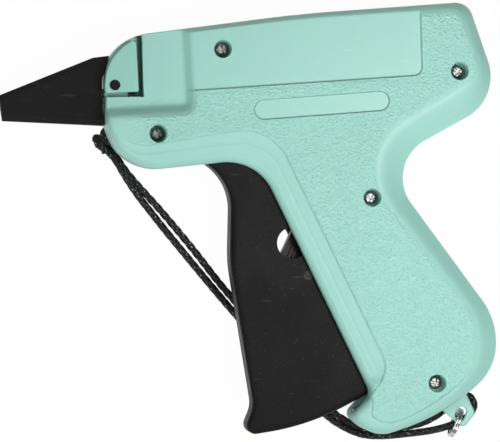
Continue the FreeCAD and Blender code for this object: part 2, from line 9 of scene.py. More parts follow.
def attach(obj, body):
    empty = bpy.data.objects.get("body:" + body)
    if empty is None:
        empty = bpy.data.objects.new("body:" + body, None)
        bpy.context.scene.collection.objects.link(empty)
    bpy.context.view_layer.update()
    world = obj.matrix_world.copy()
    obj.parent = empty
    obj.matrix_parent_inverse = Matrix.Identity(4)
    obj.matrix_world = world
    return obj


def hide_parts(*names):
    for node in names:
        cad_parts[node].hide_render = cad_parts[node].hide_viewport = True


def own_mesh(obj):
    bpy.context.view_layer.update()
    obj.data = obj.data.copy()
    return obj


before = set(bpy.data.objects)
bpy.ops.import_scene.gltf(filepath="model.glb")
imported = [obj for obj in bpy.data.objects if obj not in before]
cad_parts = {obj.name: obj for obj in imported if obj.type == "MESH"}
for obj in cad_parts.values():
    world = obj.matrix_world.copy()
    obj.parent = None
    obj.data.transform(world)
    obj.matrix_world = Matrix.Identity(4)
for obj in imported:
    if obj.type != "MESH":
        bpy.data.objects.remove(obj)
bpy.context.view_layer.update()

bl_info = {
    "name": "Garment Tag Attacher",
    "version": (1, 0, 0),
    "blender": (4, 5, 0),
    "location": "View3D > Sidebar > Tag Attacher",
    "description": "Builds a garment tag attacher with its needle cap, lock lever and wrist cord",
    "category": "Object",
}

# all sizes and places down to the wrist cord are in millimetres
MM = 0.001
THICKNESS = 28.0
MID = THICKNESS / 2         # height of the parting plane and of the mechanism
BEVEL_DROP = 3.5            # from the raised field down to the rim
BEVEL_STEPS = [0.0, 0.03, 0.08, 0.16, 0.24, 0.28, 0.56, 0.75, 0.88, 0.95, 1.0]    # in from the rim
BEVEL_RISE = [-0.32, -0.08, 0.08, 0.24, 0.36, 0.40, 0.62, 0.75, 0.83, 0.90, 0.98]
NARROW_BEVEL = 3.2
BROAD_BEVEL = 5.6
CREASE = (0.20, 0.35)       # depth and half width of the line where the bevel bends
BEVEL_LINES = [(0.07, 1.95, 0.3), (-0.09, 2.5, 0.26)]   # height, distance from the rim and width
WALL = 2.2                  # thickness of the casing's rim
SHELL = 1.9                 # thickness of the casing's broad faces
HIGHEST_ROOF = 22.4         # of the room inside
OPENING_ROOF = 21.4         # over the way of the trigger
PIVOT = (-9.2, 56.2)        # of the trigger
TRIGGER_REACH = 129.4       # from the pivot

# outlines, corner by corner: x, y, rounding radius. FIELD is the line where the bevel bends
CASING = [(-47.9, 14.5, 17.7), (2.6, 19.9, 16.7), (40.8, -58.5, 4.0), (34.0, -66.1, 2.7),
          (42.1, -73.6, 11.0), (64.7, -65.8, 66.7), (83.0, -50.5, 18.7), (83.0, -33.7, 24.0),
          (44.6, 18.1, 14.2), (84.6, 40.3, 15.6), (73.4, 72.5, 6.0), (17.2, 68.2, 500.0),
          (-47.9, 59.6, 15.3)]
FIELD = [(-46.9, 19.8, 12.0), (5.0, 26.2, 14.0), (45.1, -56.2, 5.0), (39.0, -66.0, 3.0),
         (44.0, -69.6, 8.0), (64.0, -61.4, 60.0), (77.0, -49.5, 13.0), (77.0, -34.9, 20.0),
         (36.2, 23.3, 20.7), (77.4, 43.3, 9.6), (69.8, 69.6, 4.0), (17.2, 65.9, 500.0),
         (-46.9, 57.6, 13.0)]
# the plaque and the lug's eye are stadiums: start, end, radius
PLAQUE = ((4.5, 36.1), (43.1, 39.1), 3.3)
PANEL = [(-25, 41.9, 0), (-17, 42.4, 1.5), (57.7, 47.6, 3.0), (56.4, 90, 0), (-25, 90, 0)]
TEXTURE = [(-46.9, 22.1, 12.0), (6.8, 31.1, 17.0), (46.5, -50.4, 9.0), (40.9, -58.0, 3.0), (40.6, -66.0, 2.5),
           (46.0, -69.0, 8.0), (64.0, -61.4, 60.0), (75.2, -49.5, 13.0), (75.0, -32.8, 20.0),
           (31.2, 21.3, 20.0), (77.0, 48.4, 6.0), (69.6, 68.6, 4.0), (17.2, 64.9, 500.0), (-46.9, 56.6, 13.0)]
NOSE_RECESS = [(-60, 33.9, 0), (-19.5, 36.3, 3.0), (-22.8, 90, 0), (-60, 90, 0)]
LUG = [(60, -58, 0), (72, -52, 0), (78.6, -66.2, 2.4), (74.4, -71.2, 1.6), (66.0, -63.9, 0)]
LUG_EYE = ((73.3, -66.9), (73.9, -65.5), 1.7)
LUG_HEIGHTS = (7.0, 9.2)
LUG_EDGE = 0.45
LOCK_POCKET = [(-60, 39.9, 0), (-35.3, 40.4, 0), (-37.3, 70, 0), (-60, 70, 0)]
UPRIGHT_SLOT = [(-36.6, 40.3, 0), (-35.3, 40.3, 0), (-36.2, 70, 0), (-37.5, 70, 0)]
LEVEL_SLOT = [(-60, 39.9, 0), (-35.4, 40.5, 0), (-35.4, 42.0, 0), (-60, 42.0, 0)]
# pressed areas: outline, depth and where the wall starts and ends, from the outline outwards
PRESSED = [("panel", 0.6, -0.45, 0.0), ("plaque", 0.4, -0.32, 0.05), ("recess", 3.2, -2.3, 1.7)]
CUT_WALL = 0.06             # how far the walls of the pocket and the slots lean in
POCKET_FLOOR = 20.6
SLOT_FLOOR = 15.1
HOLDER_COVER = 18.7         # floor of the level slot over the needle's holder
COVER_END = -40.2
TRIGGER_WAY = [(-15.6, 25, 0), (14, 25, 0), (30, -2, 0), (54, -56, 0), (52, -66, 0), (0, -80, 0),
               (-15.6, -30, 0)]
SCREWS = [PIVOT, (-30.7, 28.1), (70.1, 49.1), (40.7, 6.9), (62.6, -55.0)]
SCREW_SEAT = 21.0
SCREW_RADIUS = 2.2
SCREW_TOP = 22.9
SCREW_DOME = 0.7
CROSS_WIDTH = 0.44          # of half an arm
CROSS_REACH = 1.7
CROSS_DEPTH = 1.0
WELL_RADIUS = 2.9
WELL_RADII = [2.70, 2.78, 3.0]
WELL_HEIGHTS = [SCREW_SEAT, 26.4, THICKNESS]

# the needle's axis, the bore round it and the room for the needle's holder, beside the axis
AXIS_START = (-47.6, 40.6)
AXIS_SLOPE = math.tan(math.radians(4.0))
BORE_RADIUS = 3.4
BORE_END = -33
HOLDER_ROOM = [(-46.9, -40.6), (-3.3, 1.6)]
HOLDER_ROOF = 18.45

CORD_ROUTE = [
    (-48.1, 27.0, 4.6), (-46.5, 24.5, 2.3), (-43.8, 22.2, 1.25), (-42.1, 19.6, 1.2), (-39.6, 15.8, 1.2),
    (-36.1, 11.7, 1.2), (-32.2, 7.4, 1.2), (-28.6, 3.5, 1.2), (-21.6, -4.7, 1.2), (-14.9, -12.9, 1.2),
    (-8.9, -20.8, 1.2), (-2.6, -28.2, 1.2), (6.6, -38.6, 1.2), (17.0, -50.4, 1.2), (25.9, -60.8, 1.2),
    (31.0, -66.3, 2.1), (36.4, -69.5, 1.5), (42.2, -71.6, 1.2), (48.8, -71.8, 1.2), (56.6, -70.9, 1.2),
    (62.0, -69.7, 1.2), (67.4, -66.8, 1.2), (71.0, -63.4, 1.2), (74.6, -60.5, 1.2), (78.0, -60.4, 1.4),
    (79.6, -63.5, 2.0), (77.9, -66.9, 2.9), (74.6, -69.0, 3.4), (70.8, -70.6, 3.0), (66.5, -71.9, 2.0),
    (62.3, -72.7, 1.2), (56.9, -73.3, 1.2), (48.7, -74.1, 1.2), (41.5, -73.9, 1.2), (35.3, -71.5, 1.2),
    (28.5, -67.2, 1.2), (17.2, -55.2, 1.2), (6.2, -42.4, 1.2), (-5.3, -29.3, 1.2), (-12.3, -21.0, 1.2),
    (-19.0, -12.9, 1.2), (-25.8, -4.7, 1.2), (-31.8, 2.9, 1.2), (-35.1, 7.1, 1.2), (-38.2, 11.4, 2.7),
    (-40.8, 15.5, 3.35), (-43.0, 19.4, 3.6), (-46.0, 22.8, 4.6), (-49.6, 24.9, 5.4),
]
CORD_TAIL = [(-48.1, 25.7, 6.0), (-47.5, 23.8, 5.9), (-46.8, 21.9, 5.6)]
KNOT = (-48.9, 26.2, 5.0)
KNOT_SIZE = 0.52
KNOT_DEPTH = 0.95
KNOT_LOOP = (-45.2, 27.9, 7.0)
LOOP_RADIUS = 2.5
BRAID_SIDES = 24
BRAID_STRANDS = 4


# ---- settings ----
def colour_setting(name, description, default):
    return bpy.props.FloatVectorProperty(name=name, description=description, default=default,
                                         subtype="COLOR", size=3, min=0.0, max=1.0)


def length_setting(name, description, default):
    return bpy.props.FloatProperty(name=name, description=description, default=default,
                                   subtype="DISTANCE", unit="LENGTH", precision=5)


class AttacherCasingSettings(bpy.types.PropertyGroup):
    colour: colour_setting("Colour", "Moulded colour of the casing", (0.280, 0.538, 0.470))
    lever_colour: colour_setting("Lever colour", "Moulded colour of the lock lever", (0.255, 0.520, 0.445))
    grain_size: length_setting("Grain size", "Width of one pebble of the grained field", 0.0007)
    grain_depth: length_setting("Grain depth", "Depth of the grained field's pebbles", 0.00030)
    spacing: length_setting("Mesh spacing", "Distance between points on curved faces", 0.0008)


class AttacherBlackSettings(bpy.types.PropertyGroup):
    colour: colour_setting("Colour", "Moulded colour of the trigger and the cap", (0.0065, 0.0065, 0.0070))
    roughness: bpy.props.FloatProperty(name="Roughness", description="Roughness of the black mouldings",
                                       default=0.48, min=0.0, max=1.0, subtype="FACTOR")


class AttacherCordSettings(bpy.types.PropertyGroup):
    colour: colour_setting("Colour", "Colour of the braid", (0.011, 0.011, 0.012))
    diameter: length_setting("Diameter", "Thickness of the wrist cord", 0.0025)
    rib_length: length_setting("Braid pitch", "Length of one full braid repeat", 0.0034)


class AttacherStageSettings(bpy.types.PropertyGroup):
    lens_height: length_setting("Camera height", "Height of the camera above the floor", 1.275)
    key_power: bpy.props.FloatProperty(name="Key light", description="Power of the main lamp",
                                       default=3.0, min=0.0, unit="POWER")
    sky: bpy.props.FloatProperty(name="Sky", description="Brightness of the studio's ceiling", default=0.42,
                                 min=0.0)


# ---- outline helpers ----
def rounded_outline(corners, step=0.7):
    """The outline's points in order, arcs and straight runs both split about every step."""
    count = len(corners)
    place = [np.array(c[:2], float) for c in corners]
    points = []
    for i in range(count):
        before, corner, after = place[i - 1], place[i], place[(i + 1) % count]
        radius = corners[i][2]
        if radius <= 0:
            points.append(corner)
            continue
        back = (before - corner) / np.linalg.norm(before - corner)
        ahead = (after - corner) / np.linalg.norm(after - corner)
        half = math.acos(float(np.clip(back @ ahead, -1, 1))) / 2
        reach = radius / math.tan(half)
        bisector = (back + ahead) / np.linalg.norm(back + ahead)
        centre = corner + bisector * radius / math.sin(half)
        start = corner + back * reach - centre
        sweep = math.pi - 2 * half
        turn = math.copysign(sweep, back[0] * ahead[1] - back[1] * ahead[0])
        pieces = max(3, int(math.ceil(radius * sweep / step)))
        for k in range(pieces + 1):
            angle = -turn * k / pieces
            c, s = math.cos(angle), math.sin(angle)
            points.append(centre + np.array([start[0] * c - start[1] * s, start[0] * s + start[1] * c]))
    return split_runs(np.array(points), step)


def split_runs(points, step):
    out = []
    for a, b in zip(points, np.roll(points, -1, axis=0)):
        gap = np.linalg.norm(b - a)
        if gap < 1e-6:
            continue
        pieces = max(1, int(math.ceil(gap / step)))
        out.extend(a + (b - a) * k / pieces for k in range(pieces))
    return np.array(out)


def circle(place, radius, count):
    turns = np.arange(count) * 2 * math.pi / count
    return np.stack([place[0] + radius * np.cos(turns), place[1] + radius * np.sin(turns)], axis=1)


def capsule(start, end, radius, step=0.6):
    """A stadium outline round the line from start to end."""
    start, end = np.array(start, float), np.array(end, float)
    along = (end - start) / np.linalg.norm(end - start)
    side = np.array([-along[1], along[0]])
    pieces = max(6, int(math.pi * radius / step))
    turns = np.linspace(0, math.pi, pieces + 1)
    first = [end - side * radius * math.cos(t) + along * radius * math.sin(t) for t in turns]
    last = [start + side * radius * math.cos(t) - along * radius * math.sin(t) for t in turns]
    return split_runs(np.array(first + last), step)


def signed_distance(points, outline):
    """Distance of each point to a closed outline, negative inside it."""
    a = outline
    b = np.roll(outline, -1, axis=0)
    edge = b - a
    length = np.maximum((edge ** 2).sum(1), 1e-12)
    result = np.empty(len(points))
    for start in range(0, len(points), 4000):
        p = points[start:start + 4000, None, :]
        away = p - a[None]
        t = np.clip((away * edge[None]).sum(2) / length[None], 0, 1)
        near = np.sqrt(((away - t[..., None] * edge[None]) ** 2).sum(2)).min(1)
        up = (a[None, :, 1] > p[..., 1]) != (b[None, :, 1] > p[..., 1])
        drop = np.where(np.abs(edge[:, 1]) < 1e-12, 1e-12, edge[:, 1])
        cross = a[None, :, 0] + (p[..., 1] - a[None, :, 1]) * edge[None, :, 0] / drop[None]
        inside = (up & (p[..., 0] < cross)).sum(1) % 2 == 1
        result[start:start + 4000] = np.where(inside, -near, near)
    return result


def outward_normals(outline):
    """The unit normals at a closed outline's points, and whether it runs anticlockwise."""
    ahead = np.roll(outline, -1, axis=0) - np.roll(outline, 1, axis=0)
    ahead /= np.maximum(np.linalg.norm(ahead, axis=1), 1e-9)[:, None]
    area = (outline[:, 0] * np.roll(outline[:, 1], -1) - np.roll(outline[:, 0], -1) * outline[:, 1]).sum()
    return np.stack([ahead[:, 1], -ahead[:, 0]], axis=1) * (1 if area > 0 else -1), area > 0


def beside(outline, distance):
    """Points beside a closed outline, distance outwards, leaving out the ones that fold over."""
    moved = outline + outward_normals(outline)[0] * distance
    return moved[np.abs(signed_distance(moved, outline) - distance) < 0.02 + 0.1 * abs(distance)]


def from_place(points, place):
    return np.hypot(points[:, 0] - place[0], points[:, 1] - place[1])


def axis_height(x):
    """The y of the needle's axis at x."""
    return AXIS_START[1] + (x - AXIS_START[0]) * AXIS_SLOPE


def soft(value):
    """A smooth step from 0 to 1."""
    t = np.clip(value, 0, 1)
    return t * t * (3 - 2 * t)


def thin_out(points, keep_from, gap):
    """Drops the points that lie closer than gap to any of keep_from."""
    cells = {}
    for p in keep_from:
        cells.setdefault((int(p[0] // gap), int(p[1] // gap)), []).append(p)
    kept = []
    for p in points:
        cx, cy = int(p[0] // gap), int(p[1] // gap)
        near = [q for i in (-1, 0, 1) for j in (-1, 0, 1) for q in cells.get((cx + i, cy + j), ())]
        if all((p[0] - q[0]) ** 2 + (p[1] - q[1]) ** 2 >= gap * gap for q in near):
            kept.append(p)
    return np.array(kept).reshape(-1, 2)


# ---- relief solids ----
ROW_HEIGHT = 0.866          # of a grid of even triangles, in sides
EDGE_MARGIN = 0.12          # between the outline and the points of the lines
LEAST_WALL = 0.05


class Relief:
    """A closed solid over an outline: its top and bottom are heights over the plan.

    The plan is a grid of triangles, fine where busy says so and coarse elsewhere, that also
    takes up the points of lines.
    """

    def __init__(self, outline, holes, top, bottom, lines=(), fine=0.8, coarse=2.4, busy=None):
        self.outline, self.holes, self.top, self.bottom = outline, holes, top, bottom
        low, high = outline.min(0), outline.max(0)
        rows = []
        for level, spacing in (("fine", fine), ("coarse", coarse)):
            xs = np.arange(low[0], high[0], spacing)
            ys = np.arange(low[1], high[1], spacing * ROW_HEIGHT)
            gx, gy = np.meshgrid(xs, ys)
            gx = gx + (np.arange(len(ys)) % 2)[:, None] * spacing * 0.5
            p = np.stack([gx.ravel(), gy.ravel()], axis=1)
            p = p[signed_distance(p, outline) < -0.45 * spacing]
            active = busy(p) if busy is not None else np.ones(len(p), bool)
            rows.append(p[active] if level == "fine" else p[~active])
        grid = np.concatenate(rows)
        for hole in holes:
            grid = grid[signed_distance(grid, hole) > 0.3 * fine]
        marks = [line for line in lines if len(line)]
        feature = np.concatenate(marks) if marks else np.zeros((0, 2))
        if len(feature):
            feature = feature[signed_distance(feature, outline) < -EDGE_MARGIN]
            for hole in holes:
                feature = feature[signed_distance(feature, hole) > EDGE_MARGIN]
            grid = thin_out(grid, feature, 0.45 * fine)
        loops = [outline] + list(holes)
        borders = np.concatenate(loops)
        edges = []
        start = 0
        for loop in loops:
            edges.extend((start + i, start + (i + 1) % len(loop)) for i in range(len(loop)))
            start += len(loop)
        every = np.concatenate([borders, feature, grid])
        verts, _, faces, origin, _, _ = delaunay_2d_cdt([Vector(p) for p in every], edges, [], 0, 1e-5)
        flat = np.array([(v.x, v.y) for v in verts])
        tri = np.array(faces)
        middle = flat[tri].mean(1)
        keep = signed_distance(middle, outline) < 0
        for hole in holes:
            keep &= signed_distance(middle, hole) > 0
        self.flat, self.tri = flat, tri[keep]
        first, second, third = flat[self.tri].transpose(1, 0, 2)
        area = np.cross(second - first, third - first)
        self.tri[area < 0] = self.tri[area < 0][:, ::-1]
        self.where = {}
        for new, olds in enumerate(origin):
            for old in olds:
                self.where[old] = new

    def mesh(self, name, flip=False, rim=0.2, grain=None):
        """The mesh in metres, its lower rim rounded. With flip it is mirrored in the parting plane."""
        count = len(self.flat)
        z_top = self.top(self.flat)
        z_low = np.minimum(self.bottom(self.flat), z_top - LEAST_WALL)
        points = [np.column_stack([self.flat, z_top]), np.column_stack([self.flat, z_low])]
        faces = [tuple(t) for t in self.tri] + [tuple(t[::-1] + count) for t in self.tri]
        loops = [range(len(self.outline))]
        start = len(self.outline)
        for hole in self.holes:
            loops.append(range(start, start + len(hole)))
            start += len(hole)
        total = 2 * count
        for number, loop in enumerate(loops):
            ring = [self.where[i] for i in loop]
            xy = self.flat[ring]
            normals, anticlockwise = outward_normals(xy)
            outward = anticlockwise == (number == 0)
            if rim > 0 and number == 0:
                points[1][ring, :2] -= normals * rim
                points.append(np.column_stack([xy, z_low[ring] + rim]))
                wall_ids = list(range(total, total + len(ring)))
                total += len(ring)
                chains = [(wall_ids, ring), ([r + count for r in ring], wall_ids)]
            else:
                chains = [([r + count for r in ring], ring)]
            for lower, upper in chains:
                for i in range(len(ring)):
                    j = (i + 1) % len(ring)
                    quad = (lower[i], lower[j], upper[j], upper[i])
                    faces.append(quad if outward else quad[::-1])
        xyz = np.concatenate(points)
        if flip:
            xyz[:, 2] = THICKNESS - xyz[:, 2]
            faces = [f[::-1] for f in faces]
        mesh = bpy.data.meshes.new(name)
        mesh.from_pydata((xyz * MM).tolist(), [], [tuple(int(i) for i in f) for f in faces])
        if grain is not None:
            values = np.zeros(len(xyz), np.float32)
            values[:count] = grain(self.flat)
            mesh.attributes.new("grain", "FLOAT", "POINT").data.foreach_set("value", values)
        mesh.update()
        return mesh


def soften(mesh, angle=32.0):
    """Smooth shading with sharp edges from an angle in degrees on."""
    mesh.shade_smooth()
    mesh.set_sharp_from_angle(angle=math.radians(angle))


def linked(name, data):
    """An object of the scene that shows a mesh, a curve, a lamp or a camera."""
    obj = bpy.data.objects.new(name, data)
    bpy.context.scene.collection.objects.link(obj)
    return obj


def set_material(mesh, material):
    mesh.materials.clear()
    mesh.materials.append(material)


def new_object(name, mesh, material, body, replaced):
    """A finished piece that rides on a body in the place of the CAD nodes it replaces."""
    obj = linked(name, mesh)
    if material is not None:
        set_material(mesh, material)
    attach(obj, body)
    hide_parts(*replaced)
    return obj


def merged_copy(node, name, angle=32.0):
    """A copy of a CAD node's mesh with its triangles joined and its round faces smooth."""
    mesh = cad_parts[node].data.copy()
    mesh.name = name
    work = bmesh.new()
    work.from_mesh(mesh)
    bmesh.ops.remove_doubles(work, verts=work.verts, dist=2e-6)
    work.to_mesh(mesh)
    work.free()
    for attribute in ("custom_normal", "sharp_face"):
        if attribute in mesh.attributes:
            mesh.attributes.remove(mesh.attributes[attribute])
    soften(mesh, angle)
    return mesh


def weigh_normals(obj):
    modifier = obj.modifiers.new("Even shading", "WEIGHTED_NORMAL")
    modifier.keep_sharp = True


def dressed(node, material, body, angle=32.0):
    """A finished copy of a CAD node that takes the node's place."""
    name = node + "_dressed"
    return new_object(name, merged_copy(node, name, angle), material, body, (node,))


# ---- node helpers ----
class Nodes:
    """Short calls for placing and linking nodes in one tree."""

    def __init__(self, tree):
        self.tree = tree

    def add(self, kind, inputs=None, **settings):
        node = self.tree.nodes.new(kind)
        for key, value in settings.items():
            setattr(node, key, value)
        for key, value in (inputs or {}).items():
            self.feed(node.inputs[key], value)
        return node

    def feed(self, socket, value):
        if isinstance(value, bpy.types.NodeSocket):
            self.tree.links.new(value, socket)
        else:
            socket.default_value = value

    def math(self, operation, first, second=0.0, clamp=False):
        node = self.add("ShaderNodeMath", operation=operation, use_clamp=clamp)
        self.feed(node.inputs[0], first)
        self.feed(node.inputs[1], second)
        return node.outputs[0]

    def scale_range(self, value, low, high, to_low=0.0, to_high=1.0):
        node = self.add("ShaderNodeMapRange", {"From Min": low, "From Max": high, "To Min": to_low,
                                               "To Max": to_high})
        self.feed(node.inputs["Value"], value)
        return node.outputs["Result"]

    def place(self):
        return self.add("ShaderNodeTexCoord").outputs["Object"]

    def attribute(self, name):
        return self.add("ShaderNodeAttribute", attribute_name=name).outputs["Fac"]

    def noise(self, vector, scale, detail):
        given = {"Vector": vector, "Scale": scale, "Detail": detail}
        return self.add("ShaderNodeTexNoise", given).outputs["Fac"]

    def bump(self, strength, distance, height, **under):
        given = {"Strength": strength, "Distance": distance, "Height": height, **under}
        return self.add("ShaderNodeBump", given).outputs[0]

    def capture(self, geometry, name, value):
        """The geometry with a value kept on its points, and that value."""
        node = self.add("GeometryNodeCaptureAttribute", domain="POINT")
        node.capture_items.new("FLOAT", name)
        self.feed(node.inputs["Geometry"], geometry)
        self.feed(node.inputs[name], value)
        return node.outputs["Geometry"], node.outputs[name]

    def finish(self, geometry, material, out):
        """Ends a geometry tree with real meshes in their material."""
        real = self.add("GeometryNodeRealizeInstances", {0: geometry}).outputs[0]
        given = {"Geometry": real, "Material": material}
        self.feed(out[0], self.add("GeometryNodeSetMaterial", given).outputs[0])

    def mix(self, factor, first, second):
        node = self.add("ShaderNodeMix", data_type="RGBA")
        self.feed(node.inputs[0], factor)
        self.feed(node.inputs[6], first)
        self.feed(node.inputs[7], second)
        return node.outputs[2]


def new_tree(name, tree_kind, sockets_in, sockets_out):
    """A node tree with named sockets: the tree, its Nodes, what it is given and what it puts out."""
    tree = bpy.data.node_groups.new(name, tree_kind)
    for socket, kind, *default in sockets_in:
        item = tree.interface.new_socket(socket, in_out="INPUT", socket_type="NodeSocket" + kind)
        for value in default:
            item.default_value = value
    for socket, kind in sockets_out:
        tree.interface.new_socket(socket, in_out="OUTPUT", socket_type="NodeSocket" + kind)
    n = Nodes(tree)
    return tree, n, n.add("NodeGroupInput").outputs, n.add("NodeGroupOutput").inputs


def handling_group():
    """Uneven tone, faint scratches and dust: a colour, a roughness change and a height."""
    name = "Handling marks"
    if name in bpy.data.node_groups:
        return bpy.data.node_groups[name]
    tree, n, given, out = new_tree(
        name, "ShaderNodeTree",
        [("Colour", "Color", (0.5, 0.5, 0.5, 1)), ("Tone", "Float", 0.05), ("Scratches", "Float", 0.2),
         ("Dust", "Float", 0.1)],
        [("Colour", "Color"), ("Roughness", "Float"), ("Height", "Float")])
    place = n.place()
    tone = n.scale_range(n.noise(place, 38.0, 3.0), 0.3, 0.7, -1.0, 1.0)
    tone = n.math("MULTIPLY", tone, given["Tone"])
    value = n.math("ADD", tone, 1.0)
    shaded = n.add("ShaderNodeHueSaturation", {"Value": value, "Color": given["Colour"]}).outputs[0]
    scratch_sum = None
    for angle, stretch in ((0.5, 900.0), (-0.9, 1300.0)):
        turned = n.add("ShaderNodeMapping", {"Vector": place, "Rotation": (0, 0, angle),
                                             "Scale": (130.0, stretch, 200.0)}).outputs[0]
        lines = n.scale_range(n.noise(turned, 1.0, 1.5), 0.70, 0.76)
        scratch_sum = lines if scratch_sum is None else n.math("MAXIMUM", scratch_sum, lines)
    scratch = n.math("MULTIPLY", scratch_sum, n.scale_range(n.noise(place, 90.0, 1.0), 0.5, 0.62))
    scratch = n.math("MULTIPLY", scratch, given["Scratches"])
    dust = n.math("MULTIPLY", n.scale_range(n.noise(place, 1500.0, 2.0), 0.66, 0.74), given["Dust"])
    marked = n.mix(n.math("ADD", scratch, dust, clamp=True), shaded, (0.72, 0.74, 0.73, 1))
    n.feed(out["Colour"], marked)
    n.feed(out["Roughness"], n.math("ADD", n.math("MULTIPLY", scratch, 0.6), tone))
    n.feed(out["Height"], n.math("MULTIPLY", scratch, -1.0))
    return tree


def pebble_and_sheen_group():
    """The moulded pebble grain of the casing's raised field, as a height, and a tone that is painted sheen,
    lighter where the grain stands higher.
    """
    name = "Pebble grain"
    if name in bpy.data.node_groups:
        return bpy.data.node_groups[name]
    tree, n, given, out = new_tree(name, "ShaderNodeTree", [("Grain size", "Float", 0.0007)],
                                   [("Height", "Float"), ("Tone", "Float")])
    place = n.place()
    density = n.math("DIVIDE", 1.0, given["Grain size"])
    cells = n.add("ShaderNodeTexVoronoi", {"Vector": place, "Scale": density}, feature="SMOOTH_F1")
    cells.inputs["Smoothness"].default_value = 0.7
    fine = n.noise(place, n.math("MULTIPLY", density, 1.7), 2.0)
    height = n.math("ADD", n.math("MULTIPLY", cells.outputs["Distance"], 0.9), n.math("MULTIPLY", fine, 0.8))
    n.feed(out["Height"], height)
    # painted highlight: the tone lightens the pebbles' raised parts
    n.feed(out["Tone"], n.scale_range(height, 0.35, 1.15))
    return tree


def new_material(name):
    """A material with its nodes and its Principled BSDF."""
    material = bpy.data.materials.new(name)
    material.use_nodes = True
    return material, Nodes(material.node_tree), material.node_tree.nodes["Principled BSDF"]


def plastic(name, colour, roughness, tone=0.02, scratches=0.05, dust=0.0, shine=0.42, grain_size=0.0,
            grain_depth=0.0):
    """A moulded plastic. The grained ones read the mesh's grain attribute, which sets their bump and a
    painted sheen that lightens their colour.
    """
    material, n, bsdf = new_material(name)
    marks = n.add("ShaderNodeGroup", node_tree=handling_group())
    for key, value in (("Colour", (*colour, 1)), ("Tone", tone), ("Scratches", scratches), ("Dust", dust)):
        marks.inputs[key].default_value = value
    colour_out = marks.outputs["Colour"]
    roughness_out = n.math("ADD", marks.outputs["Roughness"], roughness, clamp=True)
    bump = n.bump(0.5, 0.00003, marks.outputs["Height"])
    if grain_size > 0:
        mask = n.attribute("grain")
        pebbles = n.add("ShaderNodeGroup", node_tree=pebble_and_sheen_group())
        pebbles.inputs["Grain size"].default_value = grain_size
        # painted sheen: the grained field's colour is lifted by 9 to 18 per cent, most on the pebbles' raised
        # parts, for the light the rough grain catches
        painted_sheen_value = n.scale_range(pebbles.outputs["Tone"], 0.0, 1.0, 1.09, 1.18)
        grained = n.add("ShaderNodeHueSaturation", {"Value": painted_sheen_value, "Color": colour_out}).outputs[0]
        colour_out = n.mix(mask, colour_out, grained)
        roughness_out = n.math("ADD", roughness_out, n.math("MULTIPLY", mask, 0.10), clamp=True)
        raised = n.math("MULTIPLY", pebbles.outputs["Height"], mask)
        bump = n.bump(0.8, grain_depth * 2.2, raised, Normal=bump)
    n.feed(bsdf.inputs["Base Color"], colour_out)
    n.feed(bsdf.inputs["Roughness"], roughness_out)
    n.feed(bsdf.inputs["Normal"], bump)
    bsdf.inputs["Specular IOR Level"].default_value = shine
    return material


def steel(name, colour, roughness):
    """Plated or ground steel with fine machining lines."""
    material, n, bsdf = new_material(name)
    place = n.place()
    stretched = n.add("ShaderNodeMapping", {"Vector": place, "Rotation": (0, 0, 0.4),
                                            "Scale": (400.0, 4000.0, 900.0)}).outputs[0]
    lines = n.noise(stretched, 1.0, 3.0)
    blotch = n.scale_range(n.noise(place, 900.0, 2.0), 0.35, 0.65)
    dark = tuple(c * 0.55 for c in colour)
    n.feed(bsdf.inputs["Base Color"], n.mix(blotch, (*dark, 1), (*colour, 1)))
    n.feed(bsdf.inputs["Roughness"], n.scale_range(lines, 0.3, 0.7, roughness - 0.08, roughness + 0.1))
    n.feed(bsdf.inputs["Normal"], n.bump(0.4, 0.00001, lines))
    bsdf.inputs["Metallic"].default_value = 1.0
    return material


# ---- casing ----
def rearward(points):
    """How far each point lies behind the slanting line through the waist, in steps of 6 mm."""
    return (1.71 * (points[:, 0] - 24) + points[:, 1] - 19) / 12


def casing_profile(t, width, front):
    """Height over the bevel, as a share of its rise: flat in front, rolled behind, curved if narrow."""
    flat = np.interp(t, BEVEL_STEPS, BEVEL_RISE)
    down = 1 - np.clip(t, 0, 1)
    rolled = 1 - 1.5 * np.where(down < 0.5, down ** 2, down - 0.25)
    curved = 0.98 - 1.30 * (1 - np.sqrt(1 - down ** 2))
    broad = rolled + (flat - rolled) * front
    return curved + (broad - curved) * soft((width - NARROW_BEVEL) / (BROAD_BEVEL - NARROW_BEVEL))


def casing_surface(points, inside, beyond, crease_gap):
    """Height of the casing over the plan, from the distances to its rim, its texture and its crease."""
    inside = np.maximum(inside, 0)
    width = np.maximum(inside + np.maximum(beyond, 0), 1e-6)
    t = inside / width
    front = soft(0.5 - rearward(points))
    z = THICKNESS - BEVEL_DROP + BEVEL_DROP * casing_profile(t, width, front)
    depth, half_width = CREASE
    line = -depth * front * soft((beyond - 1.2) / 1.0) * np.clip(1 - crease_gap / half_width, 0, 1)
    where_broad = front * soft((width - 4.0) / 3.0)
    for height, from_rim, spread in BEVEL_LINES:
        line += height * where_broad * np.exp(-((inside - from_rim) / spread) ** 2)
    edge = front * soft((0.22 - beyond) / 0.24)
    return z + line + (THICKNESS - z) * edge


def pressed(z, distance, floor, wall_from, wall_to):
    """Lowers z to floor inside an outline, with a soft wall between the two distances from it."""
    lowered = floor + np.maximum(z - floor, 0) * soft((distance - wall_from) / (wall_to - wall_from))
    return np.where(distance < wall_to, np.minimum(z, lowered), z)


